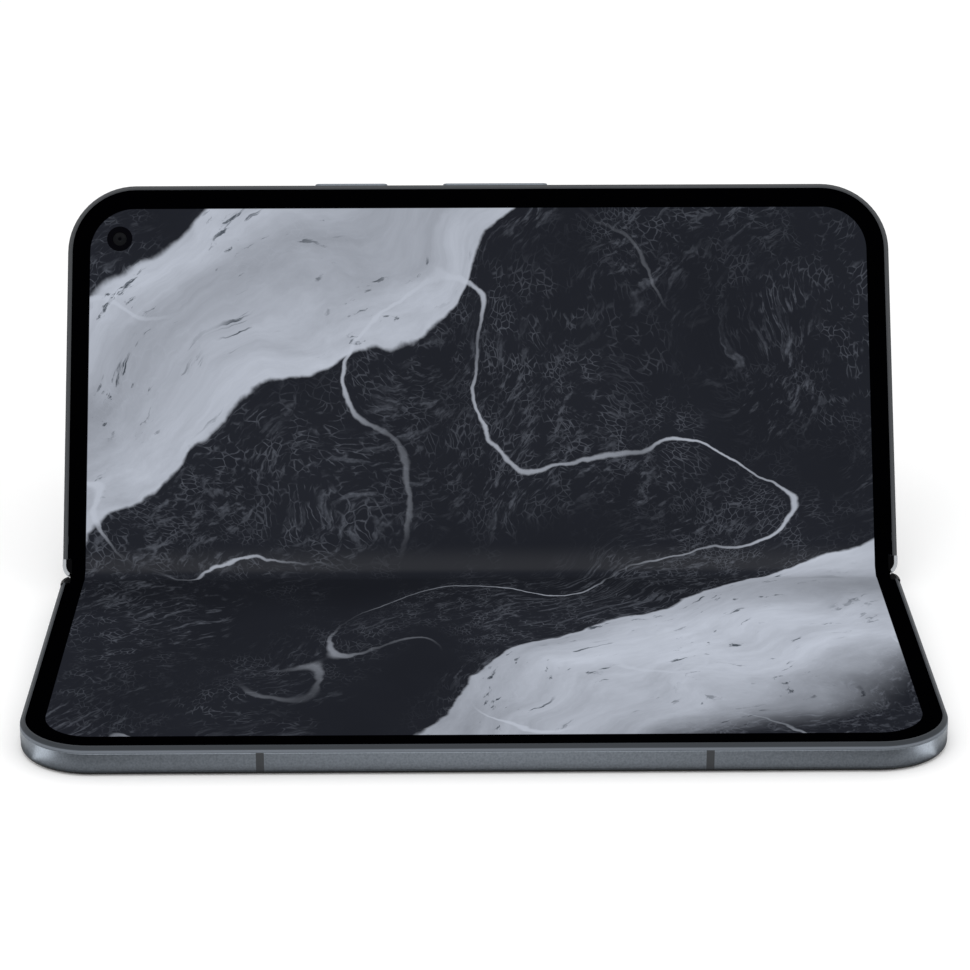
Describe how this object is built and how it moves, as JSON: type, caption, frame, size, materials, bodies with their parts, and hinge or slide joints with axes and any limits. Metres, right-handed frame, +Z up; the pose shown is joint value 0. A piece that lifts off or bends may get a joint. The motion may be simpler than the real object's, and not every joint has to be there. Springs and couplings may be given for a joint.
{
  "type": "foldable smartphone",
  "caption": "Book-style folding phone standing in laptop posture, with one flexible inner screen across a hinge that keeps both halves in step.",
  "frame": {"origin": "centre of the base half's resting face, where the cover glass meets the table", "axes": "+X along the fold, +Y from the base half towards the leaning half, +Z up"},
  "size_m": [0.1552, 0.116, 0.0694],
  "materials": {
    "frame": "satin anodised",
    "polished": "polished",
    "rim": "moulded, satin",
    "band": "moulded",
    "cap": "moulded, dark",
    "screen": "glossy film over a dark panel",
    "back_glass": "frosted, coated on the inside",
    "front_glass": "polished, over a dark panel",
    "lens": "coated lens",
    "steel": "sheet or sintered",
    "battery": "laminated foil over cells",
    "board": "solder mask",
    "module": "moulded",
    "coil": "wound wire",
    "magnet": "plated",
    "cable": "flexible film",
    "flash": "clear lens over a lamp"
  },
  "bodies": {
    "base_half": {"base_frame": "frame", "base_antenna_bands": "band", "base_hinge_rail": "polished", "base_edge_caps": "cap", "base_screen_rim": "rim", "base_inner_screen": "screen", "base_screen_plate": "steel", "cover_glass": "front_glass", "cover_screen_panel": "module", "cover_camera": "module", "base_battery": "battery", "base_board": "board", "base_board_shield": "steel", "earpiece": "module", "vibration_motor": "steel", "sim_reader": "steel", "base_magnets": "magnet", "base_hinge_bracket": "steel", "base_hinge_screws": "steel"},
    "sim_tray": {"sim_tray": "frame"},
    "hinge_spine": {"hinge_cover": "polished", "hinge_end_caps": "cap", "hinge_guide_blocks": "steel", "inner_screen_fold": "screen", "hinge_cable": "cable"},
    "base_sync_gear": {"base_sync_gear": "steel"},
    "upper_sync_gear": {"upper_sync_gear": "steel"},
    "upper_half": {"upper_frame": "frame", "upper_antenna_bands": "band", "upper_hinge_rail": "polished", "upper_edge_caps": "cap", "upper_screen_rim": "rim", "upper_inner_screen": "screen", "upper_screen_plate": "steel", "rear_glass": "back_glass", "camera_island": "frame", "main_camera": "module", "wide_camera": "module", "tele_camera": "module", "camera_lens_glass": "lens", "flash_lens": "flash", "inner_camera": "module", "inner_camera_window": "lens", "upper_battery": "battery", "charging_coil": "coil", "main_board": "board", "main_board_shield": "steel", "usb_socket": "steel", "loudspeaker": "module", "key_switches": "steel", "upper_magnets": "magnet", "upper_hinge_bracket": "steel", "upper_hinge_screws": "steel"},
    "power_button": {"power_button": "frame"},
    "volume_rocker": {"volume_rocker": "frame"}
  },
  "joints": [
    {"name": "base_fold", "type": "hinge", "parent": "base_half", "child": "hinge_spine", "pos_m": [0, 0.03625, 0.00395], "axis": [1, 0, 0], "range_deg": [-30, 60], "deforming": ["inner_screen_fold", "hinge_cable"]},
    {"name": "upper_fold", "type": "hinge", "parent": "hinge_spine", "child": "upper_half", "pos_m": [0, 0.0385, 0.00525], "axis": [1, 0, 0], "range_deg": [-30, 60], "deforming": ["inner_screen_fold", "hinge_cable"]},
    {"name": "base_gear_spin", "type": "hinge", "parent": "hinge_spine", "child": "base_sync_gear", "pos_m": [0, 0.03778, 0.00251], "axis": [1, 0, 0], "range_deg": [-60, 120]},
    {"name": "upper_gear_spin", "type": "hinge", "parent": "hinge_spine", "child": "upper_sync_gear", "pos_m": [0, 0.03899, 0.00321], "axis": [1, 0, 0], "range_deg": [-120, 60]},
    {"name": "sim_tray_slide", "type": "slide", "parent": "base_half", "child": "sim_tray", "axis": [1, 0, 0], "range_m": [0, 0.012]},
    {"name": "power_press", "type": "slide", "parent": "upper_half", "child": "power_button", "axis": [0, -0.5, -0.866], "range_m": [0, 0.0003], "stiffness_N_per_m": 4000},
    {"name": "volume_press", "type": "slide", "parent": "upper_half", "child": "volume_rocker", "axis": [0, -0.5, -0.866], "range_m": [0, 0.0003], "stiffness_N_per_m": 4000}
  ],
  "couplings": [
    {"joint": "upper_fold", "follows": "base_fold", "ratio": 1},
    {"joint": "base_gear_spin", "follows": "base_fold", "ratio": 2},
    {"joint": "upper_gear_spin", "follows": "base_fold", "ratio": -2}
  ]
}
